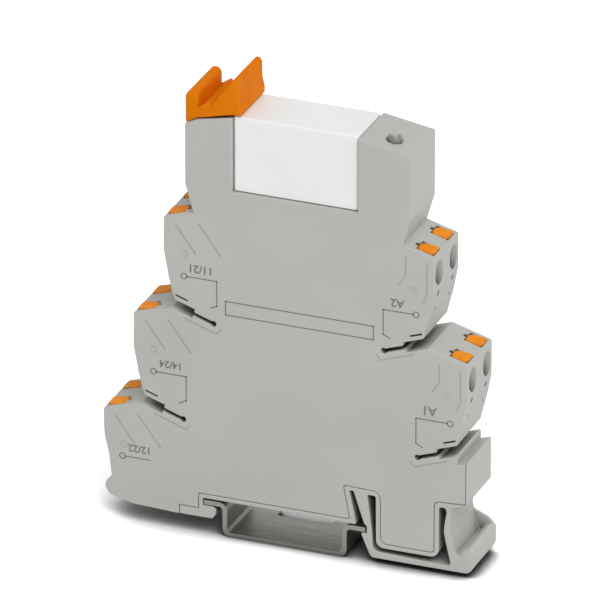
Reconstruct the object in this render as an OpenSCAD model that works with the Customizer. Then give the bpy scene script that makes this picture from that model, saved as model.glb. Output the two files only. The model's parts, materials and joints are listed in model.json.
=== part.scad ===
// Slim interface relay: a moulded terminal block for a 35 mm rail with a plug-in relay.
// Millimetres. X runs across the rail, Y along the rail (the module's thickness), Z up.
// The origin is under the middle of the block, at the underside of the rail.

/* [Block] */
// Length across the rail, from the third tier's end to the tip of the foot
block_len = 80; // [78:0.5:84]
// Thickness along the rail
block_w = 14; // [13.8:0.1:15]
// Thickness of the side cover
cover_t = 0.9; // [0.7:0.1:1.1]
// Thickness of the far wall
far_wall = 0.9; // [0.7:0.1:1.1]
// Thickness of the partition between the two poles
partition_t = 1; // [0.8:0.1:1.2]

/* [Tiers] */
// Height of one terminal tier above the next
tier_rise = 22.5; // [22:0.1:24]
// Height of the lowest left tier's outer edge
tier_z = 24.4; // [24:0.1:26]
// Step between the ends of two left tiers
tier_step_left = 6.65; // [6.3:0.05:7]
// Step between the ends of two right tiers
tier_step_right = 7.3; // [6.8:0.1:7.8]
// Upright part of a tier's end
tier_wall_h = 7.6; // [7:0.1:8.5]
// Slope of a tier's top, in degrees
tier_slope = 16; // [14:1:18]

/* [Clamps] */
// Width of a button's head
button_w = 3.5; // [3.2:0.1:3.9]
// Thickness of a button's head
button_t = 3.4; // [3.2:0.1:3.5]
// Travel of a button
button_travel = 1.3; // [0.8:0.1:1.5]
// Square duct for a wire with its ferrule
wire_bore = 3.2; // [2.8:0.1:3.4]
// Sheet thickness of the busbars
bar_t = 0.6; // [0.5:0.1:0.8]
// Sheet thickness of the clamp springs
spring_t = 0.35; // [0.25:0.05:0.45]

/* [Relay] */
// Length of the relay
relay_len = 26.7; // [26.3:0.1:27.2]
// Width of the relay
relay_w = 12.7; // [12.4:0.1:13]
// Height of the relay
relay_h = 16.3; // [16:0.1:17]
// Wall of the relay's cap
cap_wall = 0.7; // [0.6:0.1:0.8]
// Length of the relay's pins below its base
pin_len = 3.5; // [3.2:0.1:3.8]

/* [Lever] */
// Height of the lever above the top of the relay
lever_over = 7.75; // [7.5:0.05:9]
// Floor of the lever's channel
lever_wall = 1.45; // [1.3:0.05:1.9]

/* [Rail] */
// Width of the mounting rail
rail_w = 35; // [34.7:0.1:35.3]
// Depth of the mounting rail
rail_h = 7.5; // [7.3:0.1:7.7]
// Sheet thickness of the rail
rail_t = 1; // [0.9:0.1:1.1]
// Width of the rail's raised web
rail_web = 27; // [26:0.1:28]
// Length of rail shown
rail_len = 14; // [12:1:40]

/* [Fits] */
// Gap between the rail and the moulding
rail_gap = 0.3; // [0.2:0.05:0.4]
// Running clearance of the buttons and the lever
run_fit = 0.15; // [0.1:0.05:0.2]
// Gap between sheet pieces and the walls that hold them
seat_fit = 0.1; // [0.05:0.05:0.15]

/* [Hidden] */

// Round shapes, and the overrun of every cut
fine = 48;
small = 24;
over = 1;
// Radius on the moulding's outer corners
corner_r = 0.3;

// Sides of the block: the cover closes the near side
near_y = -block_w / 2;
far_y = block_w / 2;
near_in = near_y + cover_t;
far_in = far_y - far_wall;
// Each pole has a layer on its own side of the partition
layer_d = (far_in - near_in - partition_t) / 2;
mid_y = (near_in + far_in) / 2;
near_pole = near_in + layer_d / 2;
far_pole = far_in - layer_d / 2;
// The buttons and the wire entries stand nearer to the outer walls than the middle of the layers
guide_wall = 0.2;
clamp_out = (layer_d - button_w) / 2 - run_fit - guide_wall;
near_clamp = near_pole - clamp_out;
far_clamp = far_pole + clamp_out;
bar_w = layer_d - 2 * seat_fit;
spring_w = bar_w - 8 * seat_fit;

// Ends of the tiers, measured from the middle of the block
left_end = -block_len / 2;
right_end = block_len / 2;
foot_reach = 1.2;
tower_in_left = 4.7;
tower_in_right = 5.1;
left_x = [left_end + 2 * tier_step_left, left_end + tier_step_left, left_end];
a1_x = right_end - foot_reach;
a2_x = a1_x - tier_step_right;
tower_l = left_x[0] + tower_in_left;
tower_r = a2_x - tower_in_right;
tower_lean = 1.8;
tower_lean_h = 6.2;
// Outer edges of the tiers' tops
right_lift = 0.4;
left_z = [tier_z + 2 * tier_rise, tier_z + tier_rise, tier_z];
a2_z = left_z[0] + right_lift;
a1_z = left_z[1] + right_lift;
low_z = tier_z + 3 * right_lift;
// Below its upright part a tier's end leans in to the slot for the bridges
tier_lean = 2.2;
tier_base = 5;

// Slot for the plug-in bridges under each tier, measured from the lean's end
slot_slope = 19;
slot_mouth_l = 4.4;
slot_mouth_h = 2.2;
slot_l = 9;
slot_t = 0.8;
slot_below = 3.3;

// Clamp at the end of a tier, measured in and down from the outer edge of its top
wire_down = 4.4;
wire_tilt = 38;
mouth_w = 4.2;
funnel_l = 3.2;
block_in = 5.2;
chamber_up = 3.4;
chamber_down = 13.8;
bar_wire_gap = 0.15;
clamp_in = 12.6;
button_in = 2.4;
button_tilt = 36;
button_proud = 0.2;
button_top_slope = 8.4;
button_len = 9.8;
stem_t = 1.7;
stem_in = 1.3;
stem_from = 5.4;

// Relay and the bay that holds it
relay_up = 8;
relay_shift = 0.55;
bay_gap = 0.15;
seat_gap = 0.2;
bay_floor_t = 1.1;
relay_z = left_z[0] + relay_up;
relay_x = (tower_l + tower_r - relay_len) / 2 - relay_shift;
relay_in = relay_x - tower_l;
relay_end = relay_x + relay_len;
relay_top = relay_z + relay_h;
bay_z = relay_z - seat_gap;
tower_left_drop = 3;
tower_brow = 2.4;
tower_brow_drop = 1.8;
tower_right_drop = 2.1;

// Cavity that holds the metalwork
cavity_wall = 1.3;
core_l = left_x[0] + clamp_in;
core_r = a2_x - clamp_in;
core_top = bay_z - bay_floor_t;
core_bottom = tier_z - chamber_down;

// Rail and its recess
rail_x = -0.6;
rail_l = rail_x - rail_w / 2;
rail_r = rail_x + rail_w / 2;
recess_z = rail_h + rail_gap;
rail_lip = (rail_w - rail_web) / 2;
hook_under = 0.625 * rail_lip;
catch_under = 0.225 * rail_lip;
hook_t = 2;
groove_z = rail_h - rail_t - rail_gap;

// Foot, whose outlines are shares of its length and height from the rail's tip
foot_z = 1;
foot_h = 14.2;
foot_len = right_end - rail_r;

// Relay pins and the fork sockets that take them
pin_t = 0.5;
pin_w = 1.2;
pin_shares = [0.1275, 0.307, 0.487, 0.884];
com_x = relay_x + pin_shares[0] * relay_len;
no_x = relay_x + pin_shares[1] * relay_len;
nc_x = relay_x + pin_shares[2] * relay_len;
coil_pin_x = relay_x + pin_shares[3] * relay_len;
fork_t = 0.4;
fork_fit = 0.1;
hole_fit = 0.3;

// Retaining lever, its slot in the tower and its pivot
lever_slot_w = 4.4;
lever_leg_w = lever_slot_w - 2 * run_fit;
pivot_in = 3.4;
pivot_up = 4.8;
pivot_x = tower_l + pivot_in;
pivot_z = relay_z + pivot_up;
pivot_r = 1;
pivot_fit = 0.08;
pivot_hold = 1.5;
pivot_l = lever_slot_w + 2 * pivot_hold;
leg_in = 0.3;
leg_t = 2.6;
toe_reach = 1;
toe_gap = 0.2;
toe_t = 1.5;
toe_tip_t = 0.8;
lever_gap = 0.3;
lever_lap = 1.65;
slot_wall = 1.2;
slot_z = relay_z - toe_gap - toe_t - 4 * run_fit;

// Indicator and its board
lens_in = 5;
lens_d = 2.9;
lens_sink = 0.5;
lens_proud = 0.2;
lens_fit = 0.1;
lens_shelf = 2.2;
lens_x = tower_r - lens_in;
lens_z = relay_top - tower_right_drop * (lens_x - relay_end) / (tower_r - relay_end);
lens_y = near_pole + 0.6;
board_t = 1;
board_y = mid_y - partition_t / 2 - seat_fit - board_t;
well_l = relay_end + bay_gap + cavity_wall;
well_r = tower_r - tower_lean - cavity_wall;
well_top = relay_top - tower_right_drop - lens_shelf;
board_z = a2_z - chamber_up + seat_fit;
board_l = well_top - lens_d - board_z;

// Colours
grey = "#b2b3ad";
cover_grey = "#b4b5af";
orange = "#e8780f";
brass = "#c9a64c";
steel = "#b9bcc0";

// Points on an arc from angle a0 to a1
function arc_path(c, r, a0, a1, n) =
    [for (i = [0:n]) c + r * [cos(a0 + (a1 - a0) * i / n), sin(a0 + (a1 - a0) * i / n)]];
// Outline whose corners are round where a point's third number gives a radius
function round_corner(a, b, c) = b[2] == undef ? [[b[0], b[1]]] : let(
    p = [b[0], b[1]],
    u = ([a[0], a[1]] - p) / norm([a[0], a[1]] - p),
    v = ([c[0], c[1]] - p) / norm([c[0], c[1]] - p),
    half = acos(u * v) / 2,
    o = p + (u + v) / norm(u + v) * b[2] / sin(half),
    t0 = p + u * b[2] / tan(half) - o,
    t1 = p + v * b[2] / tan(half) - o,
    a0 = atan2(t0[1], t0[0]),
    turn = (atan2(t1[1], t1[0]) - a0 + 540) % 360 - 180
) arc_path(o, b[2], a0, a0 + turn, 5);
function rounded(points) = let(n = len(points))
    [for (i = [0:n - 1]) each round_corner(points[(i + n - 1) % n], points[i], points[(i + 1) % n])];

// Outlines of the block

// A tier whose outer top edge is at (x, z); dir is 1 where it reaches towards +X
module tier_shape(x, z, dir) {
    reach = abs(x);
    base_z = z - tier_rise + tier_base;
    polygon([
        [x, z - tier_wall_h],
        [x, z],
        [x + dir * reach / 2, z + reach / 2 * tan(tier_slope)],
        [dir * over, z],
        [dir * over, base_z],
        [x + dir * tier_lean, base_z],
        [x + dir * tier_lean * 0.42, (z - tier_wall_h + base_z) / 2]
    ]);
}

// Slot under a tier, from its mouth inwards and down to a bulb
module bridge_slot() {
    translate([-slot_mouth_l, -slot_mouth_h / 2]) square([2 * slot_mouth_l, slot_mouth_h]);
    translate([0, -slot_t / 2]) square([slot_l, slot_t]);
    translate([slot_l, 0]) circle(r = 0.8 * slot_t, $fn = small);
}

module tower_shape() {
    polygon([
        [tower_l + tower_lean, left_z[0] - tier_base],
        [tower_l + tower_lean, relay_z - tower_lean_h],
        [tower_l, relay_z],
        [tower_l, relay_top - tower_left_drop],
        [tower_l + tower_brow, relay_top - tower_brow_drop],
        [relay_x, relay_top - seat_gap],
        [relay_end, relay_top - seat_gap],
        [tower_r, relay_top - tower_right_drop],
        [tower_r, relay_z],
        [tower_r - tower_lean, relay_z - tower_lean_h],
        [tower_r - tower_lean, left_z[0] - tier_base]
    ]);
}

// Lowest left tier: its end runs down to a finger step, and its hook takes the rail's edge
lip_shares = [[0, 0.78], [0.01, 0.64], [0.045, 0.45], [0.065, 0.2], [0.065, 0.165],
    [0.015, 0.09], [0.01, 0.02], [0.045, -0.055], [0.24, -0.125], [0.7, -0.15], [0.97, -0.15]];
module lip_shape() {
    hook_x = rail_l + hook_under;
    lip_len = hook_x - left_end;
    lip_h = tier_z - groove_z;
    polygon(concat(
        [[over, recess_z], [over, tier_z], [left_end / 2, tier_z - left_end / 2 * tan(tier_slope)],
            [left_end, tier_z]],
        [for (p = lip_shares) [left_end + p[0] * lip_len, groove_z + p[1] * lip_h]],
        [[hook_x, groove_z - hook_t * 0.8], [hook_x, groove_z - hook_t * 0.2],
            [hook_x - hook_t * 0.3, groove_z], [rail_l - rail_gap, groove_z],
            [rail_l - rail_gap, recess_z]]
    ));
}

// Lower right block down to the roots of the foot's arms
module lower_right_shape() {
    root_z = foot_z + foot_h;
    polygon([
        [0, recess_z], [rail_r - foot_len * 0.085, recess_z],
        [rail_r - foot_len * 0.15, root_z],
        [right_end - foot_len * 0.2, root_z],
        [a1_x, root_z + foot_h * 0.08],
        [a1_x, low_z],
        [a1_x - foot_len * 0.22, low_z - foot_len * 0.22 * tan(tier_slope)],
        [a1_x - tier_lean, low_z],
        [0, low_z]
    ]);
}

// Foot: a sprung loop with a catch for the rail, a lug for a screwdriver and a fixed tongue
foot_outer_shares = [[-0.035, 0.33], [0.052, 0, 0.05], [1, 0, 0.07], [1, 0.345, 0.02],
    [0.97, 0.405, 0.012], [0.918, 0.365], [0.885, 0.26, 0.02], [0.855, 0.26, 0.02],
    [0.82, 0.4], [0.781, 0.65], [0.79, 0.82], [0.803, 1.02], [-0.115, 1.02], [-0.06, 0.75]];
foot_gap_shares = [[0.017, 0.98, 0.015], [0.097, 0.98, 0.02], [0.1, 0.173, 0.07],
    [0.687, 0.173, 0.08], [0.687, 0.98, 0.03], [0.757, 0.98, 0.03], [0.757, 0.9], [0.737, 0.7],
    [0.733, 0.6], [0.75, 0.45], [0.795, 0.13], [0.78, 0.074], [0.07, 0.108, 0.06], [0.065, 0.37]];
gusset_shares = [[0.775, 0.58], [0.823, 0.542], [0.931, 0.47], [0.974, 0.405], [0.95, 0.2],
    [0.775, 0.2]];
function foot_at(p) = [rail_r + p[0] * foot_len, foot_z + p[1] * foot_h,
    p[2] == undef ? undef : p[2] * foot_len];
module foot_shape() {
    difference() {
        polygon(rounded(concat(
            [[rail_r - rail_gap, recess_z + 2 * rail_gap], [rail_r + rail_gap, recess_z],
                [rail_r + rail_gap, groove_z], [rail_r - catch_under, groove_z]],
            [for (p = foot_outer_shares) foot_at(p)])));
        polygon(rounded([for (p = foot_gap_shares) foot_at(p)]));
    }
}

module core_shape() {
    upper_l = left_x[0] + tier_lean;
    upper_r = a2_x - tier_lean;
    lower_l = left_x[1] + tier_lean;
    lower_r = a1_x - tier_lean;
    translate([upper_l, tier_z]) square([upper_r - upper_l, left_z[0] - over - tier_z]);
    translate([lower_l, tier_z - tier_base]) square([lower_r - lower_l, tier_rise]);
}

// The whole side view; its outer corners have the small radius of the mould
module block_shape() {
    offset(r = corner_r, $fn = 16) offset(delta = -corner_r) sharp_block();
}
module sharp_block() {
    difference() {
        union() {
            for (i = [0:1]) tier_shape(left_x[i], left_z[i], 1);
            tier_shape(a2_x, a2_z, -1);
            tier_shape(a1_x, a1_z, -1);
            core_shape();
            tower_shape();
            lip_shape();
            lower_right_shape();
            foot_shape();
        }
        // Bay for the relay, open on both sides and at the top
        translate([relay_x - bay_gap, bay_z]) square([relay_len + 2 * bay_gap, relay_h + over]);
        each_slot() bridge_slot();
    }
}

// Solid from a shape in the side view, between two places along the rail
module slab(y0, y1) {
    translate([0, y1, 0]) rotate([90, 0, 0]) linear_extrude(y1 - y0) children();
}

// What belongs to a clamp is drawn inwards and down from its tier's outer edge
module at_tier(x, z, dir) {
    translate([x, z]) mirror([dir > 0 ? 0 : 1, 0]) children();
}
module at_tier_3d(x, z, dir) {
    translate([x, 0, z]) mirror([dir > 0 ? 0 : 1, 0, 0]) children();
}
module each_tier() {
    for (i = [0:2]) at_tier_3d(left_x[i], left_z[i], 1) children();
    at_tier_3d(a2_x, a2_z, -1) children();
    at_tier_3d(a1_x, a1_z, -1) children();
}

// Limit of the side cover: round the rail and the foot the housing keeps a rim
rim_w = 0.9;
seam = 0.14;
cover_foot_shares = [[0.137, 1.045, 0.075], [0.137, 0.237, 0.06], [0.645, 0.237, 0.04],
    [0.645, 1.05, 0.045], [0.94, 1.075, 0.02], [0.94, 1.76]];
module cover_limit() {
    rim_z = recess_z + rim_w;
    slot_x = rail_r - foot_len * 0.085 - 1.5 * rim_w;
    polygon(rounded(concat(
        [[left_end - over, -over], [rail_l - 6 * rim_w, -over],
            [rail_l - 6 * rim_w, groove_z - rim_w], [rail_l - rail_gap - rim_w, groove_z - rim_w],
            [rail_l - rail_gap - rim_w, rim_z, rim_w / 2], [slot_x, rim_z, rim_w / 2],
            [slot_x - foot_len * 0.06, foot_z + foot_h + rim_w, rim_w / 2]],
        [for (p = cover_foot_shares) foot_at(p)],
        [[right_end + over, low_z], [right_end + over, relay_top + over],
            [left_end - over, relay_top + over]]
    )));
}

// Cavity for the metalwork: a chamber per tier, the middle, and the indicator's well
module chamber_shape(x, z, dir, to_x) {
    x0 = x + dir * block_in;
    translate([min(x0, to_x), z - chamber_down])
        square([abs(to_x - x0), chamber_down - chamber_up]);
}
module cavity_shape() {
    toe_x = relay_x + toe_reach + cavity_wall;
    toe_z = slot_z - cavity_wall;
    step_x = rail_r - foot_len * 0.24;
    step_z = foot_z + foot_h + cavity_wall;
    polygon([
        [core_l - over, core_bottom], [step_x, core_bottom], [step_x, step_z],
        [core_r + over, step_z], [core_r + over, core_top],
        [toe_x, core_top], [toe_x, toe_z], [core_l - over, toe_z]
    ]);
    for (i = [0:2]) chamber_shape(left_x[i], left_z[i], 1, core_l);
    chamber_shape(a2_x, a2_z, -1, core_r);
    chamber_shape(a1_x, a1_z, -1, core_r);
    translate([well_l, a2_z - chamber_down])
        square([well_r - well_l, well_top - a2_z + chamber_down]);
}

// Button and its guide, along the button's own axis
module button_axis() {
    translate([button_in, button_in * tan(tier_slope)]) rotate(button_tilt) children();
}
module guide_shape() {
    half = button_t / 2 + run_fit;
    button_axis() translate([-half, -stem_from - 2 * button_travel])
        square([2 * half, stem_from + 2 * button_travel + 2 * over]);
}
// Notch for a screwdriver's edge, inwards of the button
notch_w = 1.2;
notch_l = 0.8;
notch_d = 2.6;
module notch_shape() {
    button_axis() translate([0, -notch_d]) square([button_t / 2 + notch_l, notch_d + 2 * over]);
}
module button_shape() {
    half = button_t / 2;
    dip = half * tan(button_tilt - button_top_slope);
    stem_out = stem_in - stem_t;
    button_axis() polygon([
        [-half, button_proud + dip], [-half, -stem_from], [stem_out, -stem_from],
        [stem_out, -button_len + stem_t / 2], [stem_in - stem_t / 2, -button_len],
        [stem_in, -button_len + stem_t / 3], [stem_in, -stem_from], [half, -stem_from],
        [half, button_proud - dip]
    ]);
}

// Wire entry: a conical scoop in the tier's end that narrows to a square duct, slanting down
module wire_entry(y) {
    depth = (block_in + wire_bore) / cos(wire_tilt);
    reach = mouth_w / 2;
    flare = (reach - wire_bore / 2) / funnel_l;
    translate([0, y, -wire_down]) rotate([0, wire_tilt, 0]) {
        translate([-reach, 0, 0]) rotate([0, 90, 0])
            cylinder(h = reach + funnel_l, r1 = reach + reach * flare, r2 = wire_bore / 2, $fn = small);
        translate([funnel_l - over, -wire_bore / 2, -wire_bore / 2])
            cube([depth - funnel_l + over, wire_bore, wire_bore]);
    }
}
// Hole for a test probe below the scoop, and the small pit under it
probe_r = 0.6;
probe_down = 8.7;
probe_in = 2;
pit_r = 0.35;
pit_down = 12.4;
module probe_hole(y) {
    for (hole = [[probe_down, probe_r], [pit_down, pit_r]])
        translate([-over, y, -hole[0]]) rotate([0, 90, 0])
            cylinder(h = over + probe_in, r = hole[1], $fn = small);
}

module housing() {
    color(grey) difference() {
        union() {
            slab(near_y, far_y) block_shape();
            // Gusset between the foot's web and its tongue, on the far side
            slab(far_in, far_y) polygon([for (p = gusset_shares) [foot_at(p)[0], foot_at(p)[1]]]);
        }
        slab(near_y - over, near_in) cover_limit();
        slab(near_y - over, far_in) cavity_shape();
        each_tier() for (y = [near_clamp, far_clamp]) {
            wire_entry(y);
            probe_hole(y);
            slab(y - button_w / 2 - run_fit, y + button_w / 2 + run_fit) guide_shape();
            slab(y - notch_w / 2, y + notch_w / 2) notch_shape();
        }
        // Holes in the bay's floor for the relay's pins
        for (y = [near_pole, far_pole], x = [com_x, no_x, nc_x, coil_pin_x])
            translate([x - pin_t / 2 - hole_fit, y - pin_w / 2 - hole_fit, core_top - over])
                cube([pin_t + 2 * hole_fit, pin_w + 2 * hole_fit, bay_floor_t + 2 * over]);
        // Slot and bearing of the retaining lever
        translate([tower_l + slot_wall, -lever_slot_w / 2, slot_z])
            cube([relay_in + toe_reach + toe_tip_t - slot_wall, lever_slot_w,
                relay_top - slot_z + over]);
        translate([tower_l - over, -lever_slot_w / 2, pivot_z + pivot_r + 4 * run_fit])
            cube([slot_wall + 2 * over, lever_slot_w, relay_top - pivot_z]);
        translate([pivot_x, pivot_l / 2 + run_fit, pivot_z]) rotate([90, 0, 0])
            cylinder(h = pivot_l + 2 * run_fit, r = pivot_r + pivot_fit, $fn = fine);
        // Bore for the indicator's lens
        translate([lens_x, lens_y, well_top - over])
            cylinder(h = relay_top - well_top + 2 * over, r = lens_d / 2 + lens_fit, $fn = fine);
        translate([lens_x, lens_y, lens_z - lens_sink])
            cylinder(h = over + lens_sink, r = lens_d / 2 + 3 * lens_fit, $fn = fine);
        cover_marks();
    }
}

module side_cover() {
    color(cover_grey) difference() {
        slab(near_y, near_in) intersection() {
            block_shape();
            offset(delta = -seam) cover_limit();
        }
        each_tier() wire_entry(near_clamp);
        cover_marks();
    }
}

// Shallow marks of the mould on the near side, and the slit over each slot for the bridges
mark_w = 0.3;
mark_d = 0.15;
pin_mark_r = 0.8;
pin_mark_shares = [0.58, -0.99];
slit_t = 0.4;
slit_d = 2;
slit_shares = [-0.05, 0.32];
slot_line_shares = [[0.33, -0.2], [1.14, -0.2], [1.21, -0.05]];
left_relief_shares = [[[0.33, -0.16], [0.91, -0.95]], [[0.99, -0.04], [1.64, -0.91]]];
right_relief_shares = [[[0.2, -0.18], [0.2, -1.08], [0.3, -1.34]],
    [[0.8, -0.07], [0.8, -0.6], [1, -0.92]]];
module tier_marks(shares) {
    for (line = shares) strip([for (p = line) p * tier_wall_h], mark_w);
    translate(pin_mark_shares * tier_wall_h) circle(r = pin_mark_r, $fn = small);
}
module at_slot(x, z, dir) {
    translate([x, z]) mirror([dir > 0 ? 0 : 1, 0]) rotate(-slot_slope) children();
}
module each_slot() {
    for (i = [0:1]) at_slot(left_x[i] + tier_lean, left_z[i] - tier_rise + slot_below, 1) children();
    at_slot(a2_x - tier_lean, a2_z - tier_rise + slot_below, -1) children();
    at_slot(a1_x - tier_lean, a1_z - tier_rise + slot_below, -1) children();
}
module cover_marks() {
    slab(near_y - over, near_y + mark_d) {
        for (i = [0:2]) at_tier(left_x[i], left_z[i], 1) tier_marks(left_relief_shares);
        at_tier(a2_x, a2_z, -1) tier_marks(right_relief_shares);
        at_tier(a1_x, a1_z, -1) tier_marks(right_relief_shares);
        each_slot() strip([for (p = slot_line_shares) p * slot_l], mark_w);
    }
    slab(near_y - over, near_y + slit_d)
        each_slot() translate([slit_shares[0] * slot_l, slot_mouth_h - slit_t / 2])
            square([slit_shares[1] * slot_l, slit_t]);
}

// Lever: a channel to push on, a leg through the tower and a toe under the relay
lever_trough_shares = [[0.226, 0.1], [0.389, 0.27]];
lever_right_shares = [[0.82, 0.955], [0.845, 1], [0.912, 1], [0.954, 0.89], [0.958, 0.465],
    [1, 0.194], [1, 0.045], [0.85, 0.04]];
lever_rib_share = 0.452;
horn_r = 1.28;
horn_up = 2.9;
function lever_at(p) = [tower_l + p[0] * (relay_in + lever_lap), relay_top + p[1] * lever_over];
module retaining_lever() {
    horn = [tower_l + horn_r + 0.01 * relay_in, relay_top + horn_up];
    leg_x = pivot_x - leg_t / 2 + leg_in;
    toe_z = relay_z - toe_gap;
    tip_x = relay_x + toe_reach;
    color(orange) {
        slab(near_y + lever_gap, far_y - lever_gap) polygon(concat(
            arc_path(horn, horn_r, 180, 0, 10),
            [for (p = lever_trough_shares) lever_at(p)],
            [[lever_at([lever_rib_share, 0])[0], relay_top + lever_wall]],
            [for (p = lever_right_shares) lever_at(p)],
            [[tower_l + tower_brow, relay_top - tower_brow_drop + lever_gap],
                [tower_l + 0.01 * relay_in, relay_top - tower_left_drop + lever_gap]]));
        slab(-lever_leg_w / 2, lever_leg_w / 2) polygon([
            [leg_x, relay_top], [leg_x, toe_z - toe_t], [tip_x - toe_t, toe_z - toe_t],
            [tip_x, toe_z - toe_tip_t], [tip_x, toe_z], [leg_x + leg_t, toe_z],
            [leg_x + leg_t, relay_top]
        ]);
        translate([pivot_x, pivot_l / 2, pivot_z]) rotate([90, 0, 0])
            cylinder(h = pivot_l, r = pivot_r, $fn = fine);
    }
}

module partition() {
    color("#9fa19c") difference() {
        slab(mid_y - partition_t / 2, mid_y + partition_t / 2)
            offset(delta = -seat_fit) cavity_shape();
        for (t = [[a2_x, a2_z], [a1_x, a1_z]])
            translate([t[0] - bridge_u - 2 * over, mid_y - over, t[1] - chamber_down - over])
                cube([4 * over, 2 * over, over + 4 * bar_t]);
    }
}

// A light guide with a domed end
module indicator_lens() {
    base_z = well_top - lens_d / 2;
    color("#d9dcd8") {
        translate([lens_x, lens_y, base_z])
            cylinder(h = lens_z + lens_proud - base_z, r = lens_d / 2, $fn = fine);
        translate([lens_x, lens_y, lens_z + lens_proud]) sphere(r = lens_d / 2, $fn = fine);
    }
}

module indicator_led() {
    led_z = well_top - lens_d / 2 - seat_fit;
    color("#e7e4c8") {
        translate([lens_x - lens_d / 4, lens_y, led_z - lens_d / 2])
            cube([lens_d / 2, board_y - lens_y, lens_d / 2]);
        translate([lens_x, lens_y + lens_d / 8, led_z - lens_d / 2])
            cylinder(h = lens_d / 2, r = lens_d / 4, $fn = small);
    }
}

module circuit_board() {
    color("#2f6b3c") translate([well_l + seat_fit, board_y, board_z])
        cube([well_r - well_l - 2 * seat_fit, board_t, board_l]);
}

// Rectifier, diode and two resistors on the board
part_shares = [[0.5, 0.2, 0.6, 0.16], [0.3, 0.45, 0.2, 0.16], [0.7, 0.45, 0.2, 0.16],
    [0.5, 0.68, 0.5, 0.1]];
module board_parts() {
    board_w = well_r - well_l;
    color("#2b2b2e") for (p = part_shares)
        translate([well_l + (p[0] - p[2] / 2) * board_w, board_y - 1.2 * board_t,
            board_z + (p[1] - p[3] / 2) * board_l])
            cube([p[2] * board_w, 1.2 * board_t, p[3] * board_l]);
}

// A strip of sheet bent along a path in the side view
module strip(path, t) {
    for (i = [0:len(path) - 2]) {
        run = path[i + 1] - path[i];
        translate(path[i]) rotate(atan2(run[1], run[0])) translate([0, -t / 2])
            square([norm(run), t]);
        if (i > 0) translate(path[i]) circle(r = t / 2, $fn = 16);
    }
}

// Busbar: a slanted rest for the wire, a run along the chamber's floor and a riser to a fork
bar_z = chamber_down - seat_fit - bar_t / 2;
rest_off = wire_bore / 2 + bar_wire_gap + bar_t / 2;
rest_x0 = block_in + seat_fit + bar_t / 2;
function rest_at(u) = [u, -wire_down - rest_off / cos(wire_tilt) - u * tan(wire_tilt)];
rest_x1 = (bar_z - wire_down - rest_off / cos(wire_tilt)) / tan(wire_tilt);
module busbar_rest(to_u) {
    strip([rest_at(rest_x0), [rest_x1, -bar_z], [to_u, -bar_z]], bar_t);
}
module fork_shape(x) {
    gap = pin_t / 2 + fork_fit;
    top = core_top - seat_fit;
    base = bay_z - pin_len - fork_t - 2 * seat_fit;
    for (side = [-1, 1])
        translate([x + side * (gap + fork_t / 2) - fork_t / 2, base]) square([fork_t, top - base]);
    translate([x - gap - fork_t, base - fork_t]) square([2 * (gap + fork_t), fork_t]);
}
module busbar(x, z, dir, pin_x, y) {
    fork_base = bay_z - pin_len - 2 * fork_t - 2 * seat_fit;
    color(brass) {
        slab(y - bar_w / 2, y + bar_w / 2) {
            at_tier(x, z, dir) busbar_rest(abs(pin_x - x));
            translate([pin_x - bar_t / 2, z - bar_z - bar_t / 2])
                square([bar_t, fork_base + bar_t / 2 - z + bar_z + bar_t / 2]);
        }
        slab(y - pin_w, y + pin_w) fork_shape(pin_x);
    }
}
// The coil's busbars feed both clamps of their tier through the partition
bridge_in = 4;
bridge_u = clamp_in - bridge_in;
module coil_busbar(x, z, pin_y, other_y) {
    busbar(x, z, -1, coil_pin_x, pin_y);
    color(brass) {
        slab(other_y - bar_w / 2, other_y + bar_w / 2) at_tier(x, z, -1) busbar_rest(clamp_in);
        translate([x - bridge_u - over, mid_y - layer_d / 2, z - bar_z - bar_t / 2])
            cube([2 * over, layer_d, bar_t]);
    }
}
module busbar_11() busbar(left_x[0], left_z[0], 1, com_x, near_pole);
module busbar_14() busbar(left_x[1], left_z[1], 1, no_x, near_pole);
module busbar_12() busbar(left_x[2], left_z[2], 1, nc_x, near_pole);
module busbar_21() busbar(left_x[0], left_z[0], 1, com_x, far_pole);
module busbar_24() busbar(left_x[1], left_z[1], 1, no_x, far_pole);
module busbar_22() busbar(left_x[2], left_z[2], 1, nc_x, far_pole);
module busbar_a1() coil_busbar(a1_x, a1_z, far_pole, near_pole);
module busbar_a2() coil_busbar(a2_x, a2_z, near_pole, far_pole);

// Clamp spring: a foot on the busbar, a back, a loop and a leg that bears on the wire
leg_in_duct = 1.9;
module clamp_spring(x, z, dir, y) {
    foot_w = -bar_z + bar_t / 2 + spring_t / 2;
    bend = 2 * bar_t;
    back_u = clamp_in - 4 * seat_fit;
    loop_w = -chamber_up - bend - 2 * seat_fit;
    leg_u = block_in + leg_in_duct;
    leg_end = rest_at(leg_u) + [0, bar_t / 2 / cos(wire_tilt) + spring_t];
    path = concat(
        [[back_u - 3 * bend, foot_w]],
        arc_path([back_u - bend, foot_w + bend], bend, -90, 0, 4),
        arc_path([back_u - bend, loop_w], bend, 0, 150, 6),
        [leg_end]);
    color(steel) slab(y - spring_w / 2, y + spring_w / 2)
        at_tier(x, z, dir) strip(path, spring_t);
}
module spring_11() clamp_spring(left_x[0], left_z[0], 1, near_pole);
module spring_14() clamp_spring(left_x[1], left_z[1], 1, near_pole);
module spring_12() clamp_spring(left_x[2], left_z[2], 1, near_pole);
module spring_21() clamp_spring(left_x[0], left_z[0], 1, far_pole);
module spring_24() clamp_spring(left_x[1], left_z[1], 1, far_pole);
module spring_22() clamp_spring(left_x[2], left_z[2], 1, far_pole);
module spring_a1_near() clamp_spring(a1_x, a1_z, -1, near_pole);
module spring_a1_far() clamp_spring(a1_x, a1_z, -1, far_pole);
module spring_a2_near() clamp_spring(a2_x, a2_z, -1, near_pole);
module spring_a2_far() clamp_spring(a2_x, a2_z, -1, far_pole);

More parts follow.
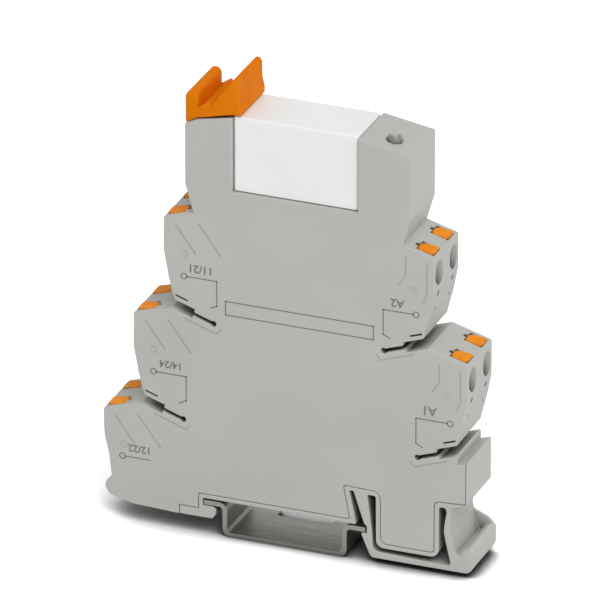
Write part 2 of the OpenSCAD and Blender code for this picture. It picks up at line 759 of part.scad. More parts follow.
// The head's corners are cut, more at the inner end
head_cut = 0.8;
module head_shape() {
    t = button_t / 2;
    w = button_w / 2;
    polygon([[-t, -w + head_cut / 2], [-t + head_cut / 2, -w], [t - head_cut, -w],
        [t, -w + head_cut], [t, w - head_cut], [t - head_cut, w], [-t + head_cut / 2, w],
        [-t, w - head_cut / 2]]);
}
module button(x, z, dir, y) {
    color(orange) intersection() {
        slab(y - button_w / 2, y + button_w / 2) at_tier(x, z, dir) button_shape();
        at_tier_3d(x, z, dir) translate([button_in, y, button_in * tan(tier_slope)])
            rotate([0, -button_tilt, 0]) translate([0, 0, -2 * button_len])
                linear_extrude(3 * button_len) head_shape();
    }
}
module button_11() button(left_x[0], left_z[0], 1, near_clamp);
module button_14() button(left_x[1], left_z[1], 1, near_clamp);
module button_12() button(left_x[2], left_z[2], 1, near_clamp);
module button_21() button(left_x[0], left_z[0], 1, far_clamp);
module button_24() button(left_x[1], left_z[1], 1, far_clamp);
module button_22() button(left_x[2], left_z[2], 1, far_clamp);
module button_a1_near() button(a1_x, a1_z, -1, near_clamp);
module button_a1_far() button(a1_x, a1_z, -1, far_clamp);
module button_a2_near() button(a2_x, a2_z, -1, near_clamp);
module button_a2_far() button(a2_x, a2_z, -1, far_clamp);

// Relay: a cap over a base that carries the pins, the coil and the contacts
base_t = 2;
base_top = relay_z + base_t;
cap_x0 = relay_x + cap_wall;
cap_x1 = relay_end - cap_wall;
cap_in_y = relay_w / 2 - cap_wall;
cap_top = relay_top - cap_wall;
yoke_t = 1;
coil_up_share = 0.503;
coil_r_share = 0.3;
coil_from_nc = 2.4;
core_z = relay_z + coil_up_share * relay_h;
bobbin_r = coil_r_share * relay_h;
bobbin_wall = 0.1227 * bobbin_r;
core_rad = 0.409 * bobbin_r;
yoke_x1 = cap_x1 - seat_fit;
yoke_x0 = yoke_x1 - yoke_t;
coil_x1 = yoke_x0 - seat_fit;
coil_x0 = nc_x + coil_from_nc;
coil_l = coil_x1 - coil_x0;
yoke_z = core_z + bobbin_r + seat_fit;
armature_t = 0.8;
armature_gap = 0.1;
core_face = coil_x0 - armature_gap;
hinge_x = core_face - armature_gap / 2 - armature_t / 2;
hinge_z = yoke_z + yoke_t / 2;
armature_open = 5.5;
leaf_t = 0.3;
leaf_up_share = 0.405;
leaf_short = 2.2;
leaf_z = relay_z + leaf_up_share * relay_h;
leaf_x = com_x;
leaf_end = nc_x - leaf_short;
leaf_w = 3.2;
contact_d = 1.5;
contact_h = 0.5;
contact_x = leaf_end - contact_d / 2;
contact_open = 0.05;
break_gap = 0.56;
pusher_t = 1.2;
arm_l = hinge_x - contact_x + pusher_t / 2;

cap_r = 0.5;
module cap_outline(w, h) {
    offset(r = cap_r, $fn = small) offset(delta = -cap_r) square([w, h]);
}
module relay_cap() {
    color("#e8ebea") difference() {
        intersection() {
            translate([relay_x, 0, relay_z - relay_h]) slab(-relay_w / 2, relay_w / 2)
                cap_outline(relay_len, 2 * relay_h);
            translate([relay_x, -relay_w / 2, relay_z]) linear_extrude(relay_h)
                cap_outline(relay_len, relay_w);
            translate([relay_x, -relay_w / 2, relay_z - relay_h]) rotate([90, 0, 90])
                linear_extrude(relay_len) cap_outline(relay_w, 2 * relay_h);
        }
        translate([cap_x0, -cap_in_y, relay_z - over])
            cube([cap_x1 - cap_x0, 2 * cap_in_y, cap_top - relay_z + over]);
    }
}
module relay_base() {
    inset = seat_fit / 2;
    color("#3b3c3f") difference() {
        union() {
            translate([cap_x0 + inset, -cap_in_y + inset, relay_z])
                cube([cap_x1 - cap_x0 - 2 * inset, 2 * (cap_in_y - inset), base_t]);
            // Cradle that the coil and its yoke stand on
            translate([coil_x0 + bobbin_wall, -bobbin_r / 2, base_top])
                cube([coil_l - 2 * bobbin_wall, bobbin_r, core_z - bobbin_r - base_top - seat_fit]);
        }
        for (y = [near_pole, far_pole], x = [com_x, no_x, nc_x, coil_pin_x])
            translate([x - pin_t / 2, y - pin_w / 2, relay_z - over])
                cube([pin_t, pin_w, base_t + 2 * over]);
    }
}
module relay_pins() {
    color(brass) for (y = [near_pole, far_pole], x = [com_x, no_x, nc_x, coil_pin_x]) {
        top = x == com_x ? leaf_z - leaf_t - seat_fit
            : x == coil_pin_x ? base_top + seat_fit : base_top;
        translate([x - pin_t / 2, y - pin_w / 2, relay_z - pin_len])
            cube([pin_t, pin_w, top - relay_z + pin_len]);
    }
}
// The contacts lie on the inner part of each leaf, and the pusher bears on its outer part
function contact_y(side) = side * (leaf_w / 2 + contact_d / 2);
module fixed_contacts() {
    lower_z = leaf_z - leaf_t / 2 - contact_h - break_gap;
    upper_z = leaf_z + leaf_t / 2 + contact_h + contact_open;
    color("#c8894a") for (y = [contact_y(-1), contact_y(1)]) {
        slab(y - contact_d / 2, y + contact_d / 2) {
            translate([no_x - pin_t / 2, base_top + seat_fit / 2])
                square([pin_t, lower_z - base_top - seat_fit / 2 - contact_h]);
            translate([no_x - pin_t / 2, lower_z - contact_h - leaf_t])
                square([contact_x - no_x + contact_d / 2 + pin_t / 2, leaf_t]);
            translate([nc_x - pin_t / 2, base_top + seat_fit / 2])
                square([pin_t, upper_z + contact_h + leaf_t - base_top - seat_fit / 2]);
            translate([contact_x - contact_d / 2, upper_z + contact_h])
                square([nc_x - contact_x + contact_d / 2, leaf_t]);
        }
        translate([contact_x, y, lower_z - contact_h])
            cylinder(h = contact_h, r = contact_d / 2, $fn = small);
        translate([contact_x, y, upper_z])
            cylinder(h = contact_h, r = contact_d / 2, $fn = small);
    }
}
module moving_contacts() {
    color("#d8b26a") for (y = [near_pole, far_pole]) {
        translate([leaf_x - pin_t / 2, y - leaf_w / 2, leaf_z - leaf_t / 2])
            cube([leaf_end - leaf_x + pin_t / 2, leaf_w, leaf_t]);
        translate([contact_x, contact_y(sign(y)), leaf_z - leaf_t / 2 - contact_h])
            cylinder(h = leaf_t + 2 * contact_h, r = contact_d / 2, $fn = small);
    }
}
module along_x(x0, x1, r) {
    translate([x0, 0, core_z]) rotate([0, 90, 0]) cylinder(h = x1 - x0, r = r, $fn = fine);
}
module coil_core() {
    color(steel) along_x(core_face, yoke_x1 - yoke_t / 2, core_rad);
}
module coil_bobbin() {
    color("#26272a") difference() {
        union() {
            along_x(coil_x0, coil_x0 + bobbin_wall, bobbin_r);
            along_x(coil_x1 - bobbin_wall, coil_x1, bobbin_r);
            along_x(coil_x0, coil_x1, core_rad + bobbin_wall);
        }
        along_x(coil_x0 - over, coil_x1 + over, core_rad + seat_fit / 2);
    }
}
module coil_winding() {
    color("#a8552e") difference() {
        along_x(coil_x0 + bobbin_wall + seat_fit / 2, coil_x1 - bobbin_wall - seat_fit / 2,
            bobbin_r - bobbin_wall);
        along_x(coil_x0, coil_x1, core_rad + bobbin_wall + seat_fit / 2);
    }
}
module relay_yoke() {
    yoke_w = 2 * bobbin_r - 2 * bobbin_wall;
    color(steel) difference() {
        union() {
            translate([yoke_x0, -yoke_w / 2, base_top + seat_fit])
                cube([yoke_t, yoke_w, yoke_z + yoke_t - base_top - seat_fit]);
            translate([coil_x0 - armature_gap / 2, -yoke_w / 2, yoke_z])
                cube([yoke_x1 - coil_x0, yoke_w, yoke_t]);
        }
        along_x(yoke_x0 - over, yoke_x1 + over, core_rad + seat_fit / 2);
    }
}
// Armature and pusher as they stand with the coil off
module armature_rest() {
    translate([hinge_x, 0, hinge_z]) rotate([0, armature_open, 0]) children();
}
module armature() {
    arm_w = 2 * bobbin_r - 4 * bobbin_wall;
    drop = hinge_z - core_z + core_rad + yoke_t;
    color(steel) armature_rest() slab(-arm_w / 2, arm_w / 2) {
        translate([-armature_t / 2, -drop]) square([armature_t, drop + armature_t / 2]);
        translate([-arm_l, -armature_t / 2]) square([arm_l, armature_t]);
    }
}
// A bar under the armature's arm, with a leg down to the outer part of each leaf
module contact_pusher() {
    lift = arm_l * sin(armature_open);
    drop = hinge_z - leaf_z - leaf_t / 2 - contact_open + lift - pusher_t * sin(armature_open);
    bar_h = hinge_z - leaf_z - 3.4 * contact_h - 2 * leaf_t - armature_t;
    outer = cap_in_y - 4 * seat_fit;
    color("#c9c3a8") armature_rest() {
        slab(-outer, outer) translate([-arm_l, -armature_t / 2 - bar_h]) square([pusher_t, bar_h]);
        for (side = [-1, 1])
            slab(side * (outer - pusher_t / 2) - pusher_t / 2,
                side * (outer - pusher_t / 2) + pusher_t / 2)
                translate([-arm_l, -drop]) square([pusher_t, drop - armature_t / 2]);
    }
}

// Rail: a hat of bent sheet, cut through one of the slots in its web
bend_in = 0.8;
rail_slot_w = 12;
rail_slot_y = 4;
module rail_section() {
    half = rail_w / 2;
    web = rail_web / 2;
    bend_out = bend_in + rail_t;
    color("#a4a8ab") translate([rail_x, 0, 0]) difference() {
        slab(-rail_len / 2, rail_len / 2) polygon(rounded([
            [-half, rail_h], [rail_t - web, rail_h, bend_out], [rail_t - web, rail_t, bend_in],
            [web - rail_t, rail_t, bend_in], [web - rail_t, rail_h, bend_out], [half, rail_h],
            [half, rail_h - rail_t], [web, rail_h - rail_t, bend_in], [web, 0, bend_out],
            [-web, 0, bend_out], [-web, rail_h - rail_t, bend_in], [-half, rail_h - rail_t]
        ]));
        translate([-rail_slot_w / 2, rail_slot_y, -over]) linear_extrude(rail_t + 2 * over)
            polygon(rounded([[0, 0, bend_in], [rail_slot_w, 0, bend_in],
                [rail_slot_w, rail_len, bend_in], [0, rail_len, bend_in]]));
    }
}

housing();
side_cover();
partition();
indicator_lens();
indicator_led();
circuit_board();
board_parts();
busbar_11();
busbar_14();
busbar_12();
busbar_21();
busbar_24();
busbar_22();
busbar_a1();
busbar_a2();
spring_11();
spring_14();
spring_12();
spring_21();
spring_24();
spring_22();
spring_a1_near();
spring_a1_far();
spring_a2_near();
spring_a2_far();
button_11();
button_14();
button_12();
button_21();
button_24();
button_22();
button_a1_near();
button_a1_far();
button_a2_near();
button_a2_far();
retaining_lever();
relay_cap();
relay_base();
relay_pins();
coil_bobbin();
coil_winding();
coil_core();
relay_yoke();
fixed_contacts();
armature();
contact_pusher();
moving_contacts();
rail_section();
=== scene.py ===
"""Looks of the slim interface relay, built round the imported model.

Lengths are metres, with x across the rail, y along it and z up.
"""
import json
import math

import bmesh
import bpy
import numpy as np
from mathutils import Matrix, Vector


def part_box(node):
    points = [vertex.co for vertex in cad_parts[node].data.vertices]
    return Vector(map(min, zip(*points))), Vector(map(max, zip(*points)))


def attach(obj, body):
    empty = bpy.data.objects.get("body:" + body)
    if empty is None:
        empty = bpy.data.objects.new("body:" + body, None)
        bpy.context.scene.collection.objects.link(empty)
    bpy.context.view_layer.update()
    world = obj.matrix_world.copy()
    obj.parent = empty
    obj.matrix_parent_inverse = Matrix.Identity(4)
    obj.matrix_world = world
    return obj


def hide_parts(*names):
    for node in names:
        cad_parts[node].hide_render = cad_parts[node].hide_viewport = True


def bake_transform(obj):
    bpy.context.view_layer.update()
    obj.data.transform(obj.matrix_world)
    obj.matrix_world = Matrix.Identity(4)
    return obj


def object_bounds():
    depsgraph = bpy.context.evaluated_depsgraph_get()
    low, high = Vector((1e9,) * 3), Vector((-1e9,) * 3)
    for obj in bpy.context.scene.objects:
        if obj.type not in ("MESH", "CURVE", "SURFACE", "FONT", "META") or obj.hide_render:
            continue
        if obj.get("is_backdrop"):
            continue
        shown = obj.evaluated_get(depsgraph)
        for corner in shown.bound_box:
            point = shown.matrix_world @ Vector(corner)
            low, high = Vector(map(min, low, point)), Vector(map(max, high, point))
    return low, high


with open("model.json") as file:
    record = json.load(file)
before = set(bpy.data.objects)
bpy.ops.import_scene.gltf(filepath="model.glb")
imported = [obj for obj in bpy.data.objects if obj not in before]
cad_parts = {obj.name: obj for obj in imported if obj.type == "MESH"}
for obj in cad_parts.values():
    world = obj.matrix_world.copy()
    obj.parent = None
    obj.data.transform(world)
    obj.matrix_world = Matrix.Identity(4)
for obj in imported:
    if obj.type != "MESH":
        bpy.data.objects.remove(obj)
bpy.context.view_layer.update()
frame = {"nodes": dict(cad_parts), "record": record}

nodes = frame["nodes"]

# Mounting rail: cold rolled steel strip, zinc plated and passivated, rolled to a hat section and sheared to
# length. Rolling leaves fine streaks, the passivation drifts in tone, and the sheared ends are an even grey.
# how long the streaks are in threads, their height and how strongly it shows, and their share in the gloss
STREAK_STRETCH = 15
STREAK_DEPTH, STREAK_LIFT = 0.00001, 0.4
STREAK_SWING = 0.08
# a face turns to the sheared colour while its normal's share along y goes from the first to the second
CUT_FROM, CUT_FULL = 0.8, 0.95


def linear(code):
    """sRGB hex to linear light: a channel c becomes ((c + 0.055) / 1.055) ^ 2.4, or c / 12.92 when dark."""
    c = np.array([int(code[i:i + 2], 16) for i in (1, 3, 5)]) / 255
    c = np.where(c > 0.04045, ((c + 0.055) / 1.055) ** 2.4, c / 12.92)
    return (*c.tolist(), 1.0)


def add_node(tree, kind, inputs=(), **settings):
    """Adds a node of that kind, sets its attributes, and fills each named input with a value or a link."""
    node = tree.nodes.new(kind)
    for key, value in settings.items():
        setattr(node, key, value)
    for key, value in dict(inputs).items():
        if isinstance(value, bpy.types.NodeSocket):
            tree.links.new(value, node.inputs[key])
        else:
            node.inputs[key].default_value = value
    return node


def new_material(name):
    """An empty node material, its tree, and the object coordinates that its patterns read."""
    material = bpy.data.materials.new(name)
    material.use_nodes = True
    tree = material.node_tree
    tree.nodes.clear()
    return material, tree, add_node(tree, "ShaderNodeTexCoord").outputs["Object"]


def two_tone(tree, value, low, high):
    """The colour runs from low to high while the value goes from a third to two thirds."""
    ramp = add_node(tree, "ShaderNodeValToRGB", {"Fac": value})
    for stop, place, code in zip(ramp.color_ramp.elements, (1 / 3, 2 / 3), (low, high)):
        stop.position, stop.color = place, linear(code)
    return ramp.outputs[0]


def finish_material(tree, **inputs):
    """A principled shader with these inputs, an underscore standing for a space, goes to the surface."""
    inputs = {key.replace("_", " "): value for key, value in inputs.items()}
    shader = add_node(tree, "ShaderNodeBsdfPrincipled", inputs)
    add_node(tree, "ShaderNodeOutputMaterial", {"Surface": shader.outputs[0]})


def rolled(name, low, high, roughness, thread, sheared=None):
    """Rolled metal: a noise of the thread's width, stretched along x, moves the roughness and the tone, and
    raises streaks of a hundredth of a millimetre. Faces across y, where a strip was cut, take the sheared
    colour where one is given."""
    material, tree, place = new_material(name)
    strip = add_node(tree, "ShaderNodeMapping", {"Vector": place, "Scale": (1 / STREAK_STRETCH, 1.0, 1.0)})
    streaks = add_node(tree, "ShaderNodeTexNoise", {
        "Vector": strip.outputs[0], "Scale": 1 / thread, "Detail": 2.0}).outputs[0]
    sheen = add_node(tree, "ShaderNodeMapRange", {
        "Value": streaks, "To Min": roughness - STREAK_SWING, "To Max": roughness + STREAK_SWING})
    bump = add_node(tree, "ShaderNodeBump", {
        "Height": streaks, "Distance": STREAK_DEPTH, "Strength": STREAK_LIFT})
    tone = two_tone(tree, streaks, low, high)
    if sheared:
        normal = add_node(tree, "ShaderNodeNewGeometry").outputs["Normal"]
        facing = add_node(tree, "ShaderNodeSeparateXYZ", {0: normal})
        across = add_node(tree, "ShaderNodeMath", {0: facing.outputs["Y"]}, operation="ABSOLUTE")
        cut = add_node(tree, "ShaderNodeMapRange", {
            "Value": across.outputs[0], "From Min": CUT_FROM, "From Max": CUT_FULL})
        # a colour mix takes its share at 0 and its colours at 6 and 7, and gives its colour at 2
        tone = add_node(tree, "ShaderNodeMix", {0: cut.outputs[0], 6: tone, 7: linear(sheared)},
                        data_type="RGBA").outputs[2]
    finish_material(tree, Base_Color=tone, Metallic=1.0, Roughness=sheen.outputs[0], Normal=bump.outputs[0])
    return material


def dress(material, *names):
    """The material takes every slot of these CAD nodes."""
    for name in names:
        slots = nodes[name].data.materials
        slots.clear()
        slots.append(material)


plated_steel = rolled("steel_zinc_plated", "#7b7b76", "#94948f", roughness=0.42, thread=0.0006,
                      sheared="#7d7d79")
dress(plated_steel, "rail_section")

# Terminal housing, side cover and partition: glass-filled polyamide, injection moulded in light grey.
# The cavity is spark eroded, so the faces are even and matt with a fine grain, and the colour drifts a
# little where the melt has flowed. The cover snaps on and comes from a second mould.
# how far the grain moves the roughness, how strongly its height shows, and the colour of the painted shade
# in mouths and corners
GRAIN_SWING, GRAIN_LIFT = 0.05, 0.6
PAINTED_SHADE_TONE = "#1c1c1a"


def open_light(tree, reach, closed, clear, least, most):
    """Runs from least to most while the share of light that passes everything within the reach goes from
    closed to clear."""
    passing = add_node(tree, "ShaderNodeAmbientOcclusion", {"Distance": reach}, samples=8)
    return add_node(tree, "ShaderNodeMapRange", {
        "Value": passing.outputs["AO"], "From Min": closed, "From Max": clear,
        "To Min": least, "To Max": most}).outputs[0]


def moulded(name, low, high, roughness, flow, grain, depth, gloss=0.5, painted_shade_reach=0):
    """Moulded plastic: two close tones mixed by a slow noise, and a fine eroded grain that also moves the
    roughness. flow and grain are the sizes of the two noises in metres, and depth is the grain's height.
    Where a reach is given, shade is painted into the colour: mouths and corners narrower than the reach are
    darkened, where little light comes, but grooves narrower than a tenth of it are not."""
    material, tree, place = new_material(name)
    drift = add_node(tree, "ShaderNodeTexNoise", {"Vector": place, "Scale": 1 / flow, "Detail": 2.0})
    grains = add_node(tree, "ShaderNodeTexNoise", {
        "Vector": place, "Scale": 1 / grain, "Detail": 3.0}).outputs[0]
    sheen = add_node(tree, "ShaderNodeMapRange", {
        "Value": grains, "To Min": roughness - GRAIN_SWING, "To Max": roughness + GRAIN_SWING})
    bump = add_node(tree, "ShaderNodeBump", {"Height": grains, "Distance": depth, "Strength": GRAIN_LIFT})
    tone = two_tone(tree, drift.outputs[0], low, high)
    # painted shade: where ambient occlusion finds little light, the colour is mixed towards a near-black tone
    if painted_shade_reach:
        painted_mouth_shade = open_light(tree, painted_shade_reach, closed=0.12, clear=0.55, least=0.85, most=0.0)
        groove = open_light(tree, painted_shade_reach / 10, closed=0.6, clear=0.9, least=0.0, most=1.0)
        share = add_node(tree, "ShaderNodeMath", {0: painted_mouth_shade, 1: groove}, operation="MULTIPLY")
        tone = add_node(tree, "ShaderNodeMix", {0: share.outputs[0], 6: tone, 7: linear(PAINTED_SHADE_TONE)},
                        data_type="RGBA").outputs[2]
    finish_material(tree, Base_Color=tone, Roughness=sheen.outputs[0], Normal=bump.outputs[0], IOR=1.53,
                    Specular_IOR_Level=gloss)
    return material


# the body that each CAD node rides on
body_of = {name: body for body, names in frame["record"]["behaviour"]["bodies"].items() for name in names}

# corners closer than this are one corner, and a place closer than this to a plane lies in it
TOUCH = 0.000001
SHARP_TURN = math.radians(35)


def merged(name):
    """The CAD piece's loose triangles joined into one closed shape."""
    shape = bmesh.new()
    shape.from_mesh(nodes[name].data)
    bmesh.ops.remove_doubles(shape, verts=shape.verts, dist=TOUCH)
    return shape


def placed(name, data):
    """A new object of this name around its data, put into the scene."""
    thing = bpy.data.objects.new(name, data)
    bpy.context.collection.objects.link(thing)
    return thing


def stand_for(name, shape, material, bend=None):
    """The shape becomes a piece that replaces the CAD node and takes its slot and a material. Edges that turn
    more than SHARP_TURN stay sharp, and the other normals lean to the largest face."""
    for face in shape.faces:
        face.smooth = True
    for edge in shape.edges:
        edge.smooth = edge.calc_face_angle(0.0) < SHARP_TURN
    mesh = bpy.data.meshes.new(name + "_soft")
    shape.to_mesh(mesh)
    shape.free()
    # the normals that came with the source no longer fit
    if "custom_normal" in mesh.attributes:
        mesh.attributes.remove(mesh.attributes["custom_normal"])
    mesh.materials.clear()
    mesh.materials.append(material)
    piece = placed(name + "_soft", mesh)
    even = piece.modifiers.new("even_normals", "WEIGHTED_NORMAL")
    even.weight, even.keep_sharp = 100, True
    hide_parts(name)
    if bend:
        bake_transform(piece)
    else:
        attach(piece, body_of[name])


def round_over(shape, edges, width, steps, clamped):
    """The faces at the edges are cut back by the width and joined by an arc in that many steps. Where
    clamped, the cut gets narrower before it meets another."""
    bmesh.ops.bevel(shape, geom=edges, offset=width, offset_type="OFFSET", segments=steps, profile=0.5,
                    affect="EDGES", clamp_overlap=clamped, loop_slide=False)


# a normal's share along y on a flat side, and at most on a wall, and the least depth of a wall
FLAT, STEEP = 0.99, 0.5
LEAST_WALL = 0.0005
# the spots tested on every edge, the room that an edge needs and the width of a slit, both in widths of the
# rounding, and the least width of a slit
SPOTS = 17
ROOM_WIDTHS, SLIT_WIDTHS = 1.7, 3
LEAST_SLIT = 0.00001


def softened(name, width, rims, material):
    """A copy of a piece cast flat between two planes, with its outer edges rounded over.

    An edge counts where it lies in a plane y = rim and turns there from the flat side to a wall. It is
    passed over where another edge of the rim runs close to it on the solid side, or where the opposite wall
    of a slit faces it. The others are rounded in three steps, and the flat side is filled again as one
    sheet."""
    shape = merged(name)
    chosen = []
    for rim in rims:
        found = []
        for edge in shape.edges:
            if len(edge.link_faces) != 2 or max(abs(vert.co.y - rim) for vert in edge.verts) > TOUCH:
                continue
            flat, wall = sorted(edge.link_faces, key=lambda face: -abs(face.normal.y))
            depth = max(abs(vert.co.y - rim) for vert in wall.verts)
            turned = abs(flat.normal.y) > FLAT and abs(wall.normal.y) < STEEP
            if turned and edge.is_convex and depth > LEAST_WALL:
                found.append((edge, *(vert.co.xz for vert in edge.verts), wall.normal.xz))
        if not found:
            continue
        edges, starts, ends, outs = zip(*found)
        starts, ends, outs = (np.array(rows) for rows in (starts, ends, outs))
        runs = ends - starts
        lengths = np.linalg.norm(runs, axis=1)[:, None]
        # every edge's spots, as each edge sees them: how far along it they lie, and how far out of its wall
        spots = (starts[:, None] + runs[:, None] * np.linspace(0, 1, SPOTS)[:, None]).reshape(-1, 2)
        away = spots - starts[:, None]
        along, out = ((away * way[:, None]).sum(-1) for way in (runs / lengths, outs))
        beside = (along > TOUCH) & (along < lengths - TOUCH)
        facing = np.repeat(outs @ outs.T < -FLAT, SPOTS, axis=1)
        crowded = (out < -TOUCH) & (out > -ROOM_WIDTHS * width)
        in_slit = facing & (out > LEAST_SLIT) & (out < SLIT_WIDTHS * width)
        passed = (beside & (crowded | in_slit)).any(1)
        ends_passed = {vert for edge, skip in zip(edges, passed) if skip for vert in edge.verts}
        chosen += [edge for edge in edges if not ends_passed.issuperset(edge.verts)]
    round_over(shape, chosen, width, steps=3, clamped=False)
    for rim in rims:
        sheet = [face for face in shape.faces if max(abs(vert.co.y - rim) for vert in face.verts) < TOUCH]
        inside = set(sheet)
        border = [edge for edge in shape.edges if len(inside.intersection(edge.link_faces)) == 1]
        bmesh.ops.delete(shape, geom=sheet, context="FACES_ONLY")
        bmesh.ops.delete(shape, geom=[edge for edge in shape.edges if not edge.link_faces], context="EDGES")
        bmesh.ops.triangle_fill(shape, use_beauty=True, edges=border, normal=(0, math.copysign(1, rim), 0))
    # the fill gives the same triangles in another order each time, so they are put in that of their middles
    ordered = sorted(shape.faces, key=lambda face: tuple(face.calc_center_median()))
    for place, face in enumerate(ordered):
        face.index = place
    shape.faces.sort()
    stand_for(name, shape, material)


MOULD_RADIUS = 0.0002
block_low, block_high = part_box("side_cover")[0].y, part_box("housing")[1].y
# the grey carries painted shade in mouths and corners narrower than four millimetres
grey_polyamide = moulded("glass_filled_polyamide_grey", "#b1b2ad", "#b5b6b1", roughness=0.6, flow=0.02,
                         grain=0.0004, depth=0.00003, gloss=0.35, painted_shade_reach=0.004)
dress(grey_polyamide, "partition")
for name in ("housing", "side_cover"):
    softened(name, MOULD_RADIUS, (block_low, block_high), grey_polyamide)

# Terminal marks: pad printed on the side cover in dark grey ink, thin and matt, and turned half round. Each
# step has a wire end and the number that every such relay carries. The other places of the print stay bare.
INK = 0.00002
LINE = 0.00024
RING, RING_CORNERS = 0.00062, 32
TICK = 0.0014, 0.0007
# how much bolder the letters are drawn, as a share of their size
LETTER_BOLDER = 0.02
# the places in the list below are millimetres from a corner of the cover, which is here in the frame
CORNER_X, CORNER_Z = -40.3, 1.4
ink_corners, ink_faces = [], []


def ink(corners, faces):
    """Takes corners in x and z, in metres, and gives them a slab of ink on the cover: one sheet on its face,
    one an ink's thickness in front of it, and a wall along every edge that has a face on one side only."""
    flat = np.array(corners)
    first = sum(len(rows) for rows in ink_corners)
    for level in (block_low - INK, block_low):
        ink_corners.append(np.insert(flat, 1, level, axis=1))
    sides = [(a, b) for face in faces for a, b in zip(face, (*face[1:], face[0]))]
    walls = [(b, a, a + len(flat), b + len(flat)) for a, b in sides if (b, a) not in set(sides)]
    backs = [tuple(corner + len(flat) for corner in reversed(face)) for face in faces]
    ink_faces.extend([tuple(corner + first for corner in face) for face in [*faces, *backs, *walls]])


def ink_path(*points):
    """A line of one width through the points: a stretch's ends are set off by half a line to both sides."""
    for start, end in zip(points[:-1], points[1:]):
        start, end = np.array(start), np.array(end)
        run = (end - start) / np.linalg.norm(end - start) * LINE / 2
        side = np.array((-run[1], run[0]))
        ink([start - run - side, end + run - side, end + run + side, start - run + side], [(0, 1, 2, 3)])


def ink_ring(middle):
    """A ring of one line's width: two circles of corners about the middle, half a line in and out."""
    turn = np.linspace(0, 2 * np.pi, RING_CORNERS, endpoint=False)
    circle = np.stack([np.cos(turn), np.sin(turn)], axis=1)
    rim = np.concatenate([np.array(middle) + (RING + part) * circle for part in (-LINE / 2, LINE / 2)])
    here = np.arange(RING_CORNERS)
    after = (here + 1) % RING_CORNERS
    ink(rim, np.stack([here, here + RING_CORNERS, after + RING_CORNERS, after], axis=1).tolist())


def ink_number(text, left, right):
    """The number's letter shapes, as a flat mesh scaled to the width between the two places and centred on
    their height, turned half round: x = right - u and z = top - v of the flat letters."""
    curve = bpy.data.curves.new(text, "FONT")
    curve.body, curve.offset = text, LETTER_BOLDER
    letters = bpy.data.objects.new(text, curve)
    flat = letters.to_mesh()
    spots = np.array([vert.co.xy for vert in flat.vertices])
    faces = [tuple(face.vertices) for face in flat.polygons]
    letters.to_mesh_clear()
    bpy.data.objects.remove(letters)
    spots -= spots.min(axis=0)
    spots *= (right[0] - left[0]) / spots[:, 0].max()
    ink(np.array((right[0], right[1] + spots[:, 1].max() / 2)) - spots, faces)


def wire_end(ring, bend, foot):
    """A terminal's symbol: a ring and a line to the bend, and where there is a foot, a line down to it and a
    short tick from there, down and back to the ring's side."""
    ink_ring(ring)
    toward = np.array(bend) - np.array(ring)
    ink_path(np.array(ring) + toward / np.linalg.norm(toward) * RING, bend)
    if foot:
        ink_path(bend, foot)
        ink_path(foot, (foot[0] - math.copysign(TICK[0], toward[0]), foot[1] - TICK[1]))


def on_cover(x, z):
    """A listed place in the frame: moved by the corner and turned to metres."""
    return (x + CORNER_X) / 1000, (z + CORNER_Z) / 1000


# a terminal's number, x of the ring and of the bend, z of both, z of the foot, and the number's left end,
# right end and middle height
for number, ring_x, bend_x, line_z, foot_z, left, right, height in (
        ("11/21", 18.0, 25.1, 55.5, 50.0, 19.3, 23.9, 57.45),
        ("14/24", 11.3, 18.4, 33.1, 27.7, 12.6, 17.2, 35.1),
        ("12/22", 4.4, 10.5, 12.9, None, 5.7, 10.3, 14.9),
        ("A2", 68.0, 61.0, 55.5, 50.0, 62.6, 65.5, 57.3),
        ("A1", 75.4, 68.1, 32.6, 27.0, 69.8, 72.6, 34.6)):
    foot = on_cover(bend_x, foot_z) if foot_z else None
    wire_end(on_cover(ring_x, line_z), on_cover(bend_x, line_z), foot)
    ink_number(number, on_cover(left, height), on_cover(right, height))
# the empty frame between them
frame_left, frame_low = on_cover(27.0, 48.4)
frame_right, frame_high = on_cover(58.9, 51.4)
ink_path((frame_left, frame_low), (frame_right, frame_low), (frame_right, frame_high),
         (frame_left, frame_high), (frame_left, frame_low))
print_mesh = bpy.data.meshes.new("cover_print")
print_mesh.from_pydata(np.concatenate(ink_corners).tolist(), [], ink_faces)
print_mesh.materials.append(moulded("pad_printing_ink_grey", "#72736f", "#7c7d79", roughness=0.6, flow=0.002,
                                    grain=0.0003, depth=0.000005, gloss=0.2))
cover_print = placed("cover_print", print_mesh)
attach(cover_print, "terminal_block")

# Release buttons: orange polyamide, moulded. The ten are alike, and each slides in its guide over a clamp.
# A tool's tip presses them, so their edges are rounded, and the face is satin with hardly any shine.
BUTTON_RADIUS = 0.00015
EASED_TURN = math.radians(50)


def eased(name, width, material):
    """A copy of a small piece with every edge that turns outwards by more than EASED_TURN cut to an arc of
    two steps."""
    shape = merged(name)
    edges = [edge for edge in shape.edges if edge.is_convex and edge.calc_face_angle(0.0) > EASED_TURN]
    round_over(shape, edges, width, steps=2, clamped=True)
    stand_for(name, shape, material)


button_polyamide = moulded("polyamide_orange_button", "#e8860e", "#ee9216", roughness=0.5, flow=0.004,
                           grain=0.0004, depth=0.00002, gloss=0.1)
for name in [name for name in nodes if name.startswith("button_")]:
    eased(name, BUTTON_RADIUS, button_polyamide)

# Busbars and pins: brass strip, tinned, stamped and bent, a warm pale metal. The clamp springs are rolled
# spring steel, bluer and smoother, bent to a back, a loop and a leg. A pressed button pushes the leg away
# from the wire.
tinned_brass = rolled("brass_strip_tinned", "#b8ab86", "#cdbf98", roughness=0.3, thread=0.0004)
spring_steel = rolled("spring_steel_rolled", "#a6a9ad", "#b9bcc0", roughness=0.28, thread=0.0003)
dress(tinned_brass, *[name for name in nodes if name.startswith("busbar_")], "relay_pins", "fixed_contacts",
      "moving_contacts")
